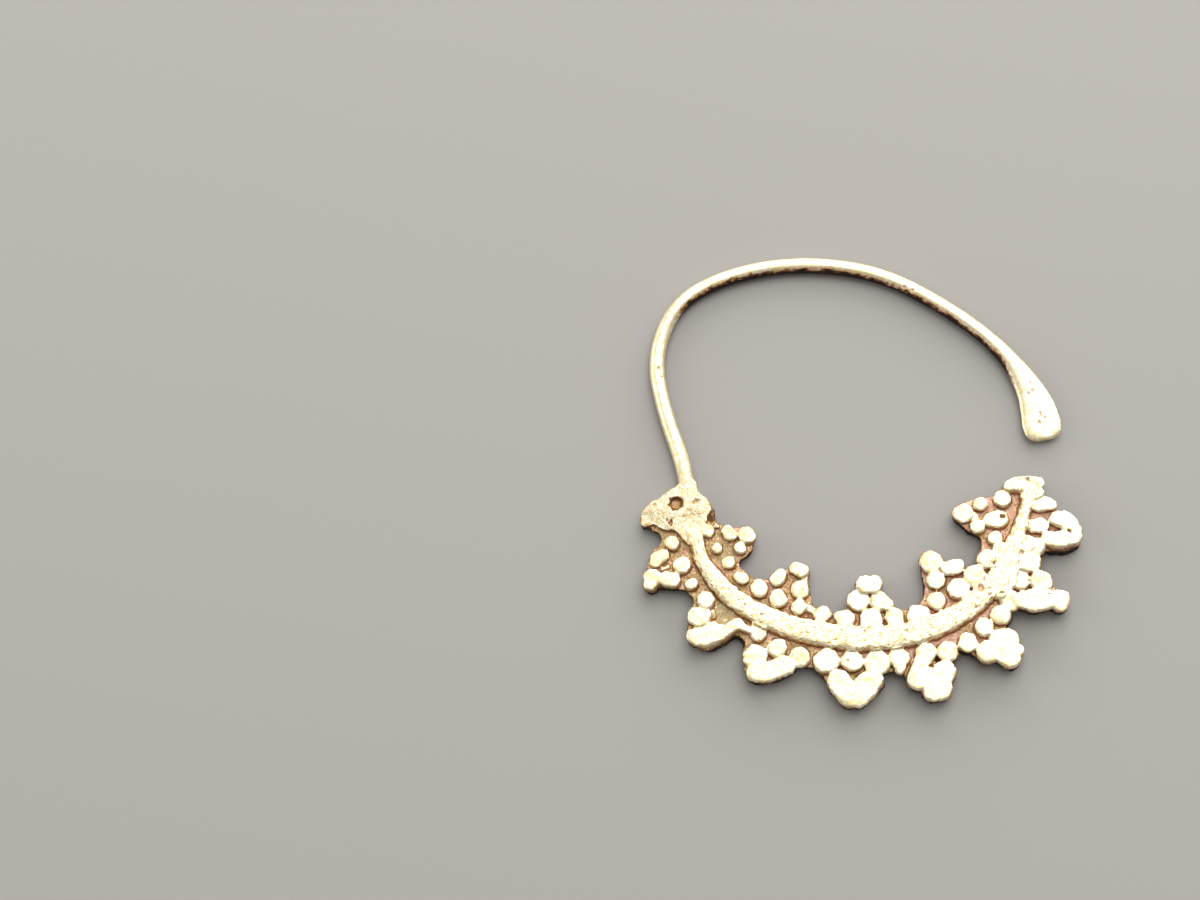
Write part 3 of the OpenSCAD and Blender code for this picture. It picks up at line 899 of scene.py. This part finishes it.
def cast_brass():
    """Cast brass, filed and worn bright on top, with brown tarnish in its hollows and painted shade below."""
    metal = bpy.data.materials.new("worn_cast_brass")
    metal.use_nodes = True
    tree = metal.node_tree
    tree.nodes.clear()
    place = add(tree, "ShaderNodeTexCoord")
    # Object coordinates come in metres, and the patterns are set in millimetres
    to_mm = (1 / MM, 1 / MM, 1 / MM)
    mm = add(tree, "ShaderNodeMapping", {"Vector": place.outputs["Object"], "Scale": to_mm})
    marks = add(tree, "ShaderNodeVertexColor", layer_name="wear_and_shade")
    parts = add(tree, "ShaderNodeSeparateColor", {"Color": marks.outputs["Color"]})
    along = add(tree, "ShaderNodeUVMap", uv_map="along_wire")
    spans = add(tree, "ShaderNodeSeparateXYZ", {0: along.outputs["UV"]})

    pattern = {}
    for name, (per_mm, detail, uneven) in PATTERNS.items():
        spread = {"Vector": mm.outputs[0], "Scale": per_mm, "Detail": detail, "Roughness": uneven}
        pattern[name] = add(tree, "ShaderNodeTexNoise", spread).outputs["Fac"]
    # A Mapping node of the texture type divides by the length and the width of a mark
    drawn = add(
        tree,
        "ShaderNodeMapping",
        {"Vector": along.outputs["UV"], "Scale": (DASH_LONG, DASH_WIDE, 1)},
        vector_type="TEXTURE",
    )
    dashes = add(
        tree,
        "ShaderNodeTexNoise",
        {"Vector": drawn.outputs[0], "Scale": 1.0, "Detail": 3.0, "Roughness": 0.6},
    )
    # Curved strokes of the file run slantwise over the collar
    bent = add(
        tree,
        "ShaderNodeMapping",
        {
            "Vector": mm.outputs[0],
            "Rotation": (0, 0, STROKE_TURN),
            "Scale": (STROKE_LONG, STROKE_WIDE, STROKE_LONG),
        },
        vector_type="TEXTURE",
    )
    strokes = add(
        tree,
        "ShaderNodeTexNoise",
        {"Vector": bent.outputs[0], "Scale": 1.0, "Detail": 2.0, "Roughness": 0.5, "Distortion": 0.8},
    )
    pattern["dashes"], pattern["strokes"] = dashes.outputs["Fac"], strokes.outputs["Fac"]
    shows = {}
    for name, (source, low, high, least, most) in SHOWING.items():
        fade = {"Value": pattern[source], "From Min": low, "From Max": high, "To Min": least, "To Max": most}
        shows[name] = add(tree, "ShaderNodeMapRange", fade, interpolation_type="SMOOTHSTEP").outputs[0]

    # Tarnish and painted shade: the mark on the skin, broken up by the grit
    broken = add(
        tree,
        "ShaderNodeMath",
        {0: pattern["grit"], 1: 0.9, 2: parts.outputs["Red"]},
        operation="MULTIPLY_ADD",
    )
    pitted = add(
        tree,
        "ShaderNodeMath",
        {0: parts.outputs["Blue"], 1: 0.8, 2: broken.outputs[0]},
        operation="MULTIPLY_ADD",
    )
    covered = add(
        tree,
        "ShaderNodeMapRange",
        {"Value": pitted.outputs[0], "From Min": 0.75, "From Max": 1.1},
        interpolation_type="SMOOTHSTEP",
    )
    # Specks of bare metal glint through it, but not where the painted shade is dark
    kept = add(tree, "ShaderNodeMix", {"Factor": parts.outputs["Green"], "A": shows["bare"], "B": 1.0})
    tarnish_and_shade = add(
        tree, "ShaderNodeMath", {0: covered.outputs[0], 1: kept.outputs["Result"]}, operation="MULTIPLY"
    )

    # The collar and the wire next to it stayed as cast, and are dullest 2 mm up the wire
    from_collar = add(
        tree, "ShaderNodeMath", {0: spans.outputs["X"], 1: COLLAR_AT - 2}, operation="SUBTRACT"
    )
    apart = add(tree, "ShaderNodeMath", {0: from_collar.outputs[0]}, operation="ABSOLUTE")
    cast = add(
        tree,
        "ShaderNodeMapRange",
        {"Value": apart.outputs[0], "From Min": 1.6, "From Max": 5, "To Min": 1.0, "To Max": 0.0},
        interpolation_type="SMOOTHSTEP",
    )
    mottled = {"Factor": shows["worn"], "A": colour(RUBBED_GOLD), "B": colour(WARM_GOLD)}
    pale = add(tree, "ShaderNodeMix", mottled, data_type="RGBA")
    mottled = {"Factor": shows["worn"], "A": colour(CAST_PALE), "B": colour(CAST_DULL)}
    as_cast = add(tree, "ShaderNodeMix", mottled, data_type="RGBA")
    # Each layer of colour lies over the one before it, as far as its share says
    collar = as_cast.outputs["Result"]
    for share, layer in ((shows["filed"], FILE_STROKE), (shows["pores"], PORE)):
        over = {"Factor": share, "A": collar, "B": colour(layer)}
        collar = add(tree, "ShaderNodeMix", over, data_type="RGBA").outputs["Result"]
    dulled = {"Factor": cast.outputs[0], "A": pale.outputs["Result"], "B": collar}
    gold = add(tree, "ShaderNodeMix", dulled, data_type="RGBA")
    # Dashes lie along the rib, and hardly any on the wire and the grains
    past_collar = add(
        tree,
        "ShaderNodeMapRange",
        {"Value": spans.outputs["X"], "From Min": COLLAR_AT, "From Max": COLLAR_AT + 3},
        interpolation_type="SMOOTHSTEP",
    )
    off_line = add(tree, "ShaderNodeMath", {0: spans.outputs["Y"]}, operation="ABSOLUTE")
    on_rib = add(
        tree,
        "ShaderNodeMapRange",
        {"Value": off_line.outputs[0], "From Min": 1.0, "From Max": 1.6, "To Min": 0.85, "To Max": 0.0},
        interpolation_type="SMOOTHSTEP",
    )
    dash_share = add(
        tree,
        "ShaderNodeMath",
        {0: past_collar.outputs[0], 1: on_rib.outputs[0], 2: 0.15},
        operation="MULTIPLY_ADD",
    )
    on_top = add(
        tree, "ShaderNodeMath", {0: shows["dashed"], 1: dash_share.outputs[0]}, operation="MULTIPLY"
    )
    dashed = {"Factor": on_top.outputs[0], "A": gold.outputs["Result"], "B": colour(DASH)}
    bright = add(tree, "ShaderNodeMix", dashed, data_type="RGBA")
    # The ground is brown or pale with the grit. It turns rosy in patches, most towards the free end,
    # and olive in others, most towards the collar
    brown = add(tree, "ShaderNodeValToRGB", {"Fac": pattern["grit"]})
    stops = brown.color_ramp.elements
    stops[0].position, stops[0].color = 0.32, colour(GROUND_BROWN)
    stops[1].position, stops[1].color = 0.68, colour(GROUND_PALE)
    stops.new(0.5).color = colour(GROUND_TAN)
    where = add(tree, "ShaderNodeSeparateXYZ", {0: mm.outputs[0]})
    blush = add(
        tree,
        "ShaderNodeMath",
        {0: where.outputs["X"], 1: 0.006, 2: pattern["patches"]},
        operation="MULTIPLY_ADD",
    )
    rosy = add(
        tree,
        "ShaderNodeMapRange",
        {"Value": blush.outputs[0], "From Min": 0.47, "From Max": 0.56, "To Max": 0.65},
    )
    olive = add(
        tree,
        "ShaderNodeMapRange",
        {"Value": blush.outputs[0], "From Min": 0.42, "From Max": 0.34, "To Max": 0.6},
    )
    # Painted shade, from golden brown under the rim to near black at the foot of the walls
    shade_brown = add(
        tree, "ShaderNodeMapRange", {"Value": parts.outputs["Green"], "From Max": 0.4, "To Max": 0.9}
    )
    deep_shade = add(
        tree, "ShaderNodeMapRange", {"Value": parts.outputs["Green"], "From Min": 0.3, "From Max": 0.9}
    )
    tarnish_and_shade_colour = brown.outputs["Color"]
    for share, layer in (
        (rosy.outputs[0], ROSY),
        (olive.outputs[0], OLIVE),
        (marks.outputs["Alpha"], OLIVE_STAIN),
        (shade_brown.outputs[0], WALL_BROWN),
        (deep_shade.outputs[0], WALL_SHADOW),
    ):
        over = {"Factor": share, "A": tarnish_and_shade_colour, "B": colour(layer)}
        tarnish_and_shade_colour = add(tree, "ShaderNodeMix", over, data_type="RGBA").outputs["Result"]
    aged_and_shaded = {"Factor": tarnish_and_shade.outputs[0], "A": bright.outputs["Result"], "B": tarnish_and_shade_colour}
    base = add(tree, "ShaderNodeMix", aged_and_shaded, data_type="RGBA")
    # Tarnish and the cast collar are rougher and less like bare metal than the worn tops
    dull = add(
        tree,
        "ShaderNodeMapRange",
        {"Value": apart.outputs[0], "From Min": 2, "From Max": 9, "To Min": 0.56, "To Max": 0.38},
        interpolation_type="SMOOTHSTEP",
    )
    rough_gold = add(
        tree,
        "ShaderNodeMath",
        {0: pattern["patches"], 1: 0.12, 2: dull.outputs[0]},
        operation="MULTIPLY_ADD",
    )
    roughness = add(
        tree, "ShaderNodeMix", {"Factor": tarnish_and_shade.outputs[0], "A": rough_gold.outputs[0], "B": 0.62}
    )
    metallic = add(tree, "ShaderNodeMapRange", {"Value": tarnish_and_shade.outputs[0], "To Min": 1.0, "To Max": 0.45})
    relief = add(
        tree,
        "ShaderNodeMath",
        {0: pattern["dashes"], 1: 0.5, 2: pattern["grit"]},
        operation="MULTIPLY_ADD",
    )
    firm = add(tree, "ShaderNodeMapRange", {"Value": tarnish_and_shade.outputs[0], "To Min": 0.12, "To Max": 0.5})
    bump = add(
        tree,
        "ShaderNodeBump",
        {"Height": relief.outputs[0], "Strength": firm.outputs[0], "Distance": 0.06 * MM},
    )
    shader = add(
        tree,
        "ShaderNodeBsdfPrincipled",
        {
            "Base Color": base.outputs["Result"],
            "Metallic": metallic.outputs[0],
            "Roughness": roughness.outputs["Result"],
            "Normal": bump.outputs["Normal"],
        },
    )
    add(tree, "ShaderNodeOutputMaterial", {"Surface": shader.outputs["BSDF"]})
    return metal


def floor_paint():
    """Pale matt board that the earring lies on."""
    paint = bpy.data.materials.new("pale_board")
    paint.use_nodes = True
    shader = paint.node_tree.nodes["Principled BSDF"]
    shader.inputs["Base Color"].default_value = colour(BOARD_GREY)
    shader.inputs["Roughness"].default_value = 0.8
    return paint


def soft_box(name, place, size, power):
    """A soft box that faces the middle of the hoop."""
    lamp = bpy.data.lights.new(name, "AREA")
    lamp.shape = "RECTANGLE"
    lamp.size, lamp.size_y = size
    lamp.energy = power
    made = new_object(name, lamp)
    made.location = Vector(place)
    made.rotation_euler = (-Vector(place)).to_track_quat("-Z", "Y").to_euler()


# The earring, made in millimetres and then put into metres
metal = cast_brass()
skin = cast_skin(metal)
wear_skin(skin)
skin = thin_out(skin, TRIANGLES)
mark_wear_and_shade(skin)
skin.transform(Matrix.Scale(MM, 4))
skin.materials.clear()
skin.materials.append(metal)
skin.shade_smooth()
skin.name = "cast_earring"
earring = new_object("cast_earring", skin)
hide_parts("earring")
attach(earring, "root")

board = bpy.data.meshes.new("board")
board.from_pydata([(-1, -1, 0), (1, -1, 0), (1, 1, 0), (-1, 1, 0)], [], [(0, 1, 2, 3)])
board.materials.append(floor_paint())
new_object("board", board)

# Camera: tilted 15.5 degrees from straight above and turned 7.5 to the right, as the walls show
TILT, TURN = math.radians(15.5), math.radians(7.5)
AIM = Vector((-23.47, 3.57, 0)) * MM
DISTANCE = 185.7
AWAY = Vector((math.sin(TURN), -math.sin(TILT) * math.cos(TURN), math.cos(TILT) * math.cos(TURN)))
AWAY.normalize()
RIGHT = Vector((0, 1, 0)).cross(AWAY).normalized()
UP = AWAY.cross(RIGHT)
lens = bpy.data.cameras.new("camera")
lens.lens = 60
lens.sensor_width = 36
lens.clip_start = 0.01
lens.dof.use_dof = False
camera = new_object("camera", lens)
turned = Matrix((RIGHT, UP, AWAY)).transposed().to_4x4()
camera.matrix_world = Matrix.Translation(AIM + AWAY * DISTANCE * MM) @ turned
bpy.context.scene.camera = camera

for row in LAMPS:
    soft_box(*row)
world = bpy.data.worlds.new("studio")
bpy.context.scene.world = world
world.use_nodes = True
world.node_tree.nodes["Background"].inputs["Color"].default_value = colour(STUDIO_WHITE)
world.node_tree.nodes["Background"].inputs["Strength"].default_value = 0.42
bpy.context.scene.view_settings.view_transform = "Standard"
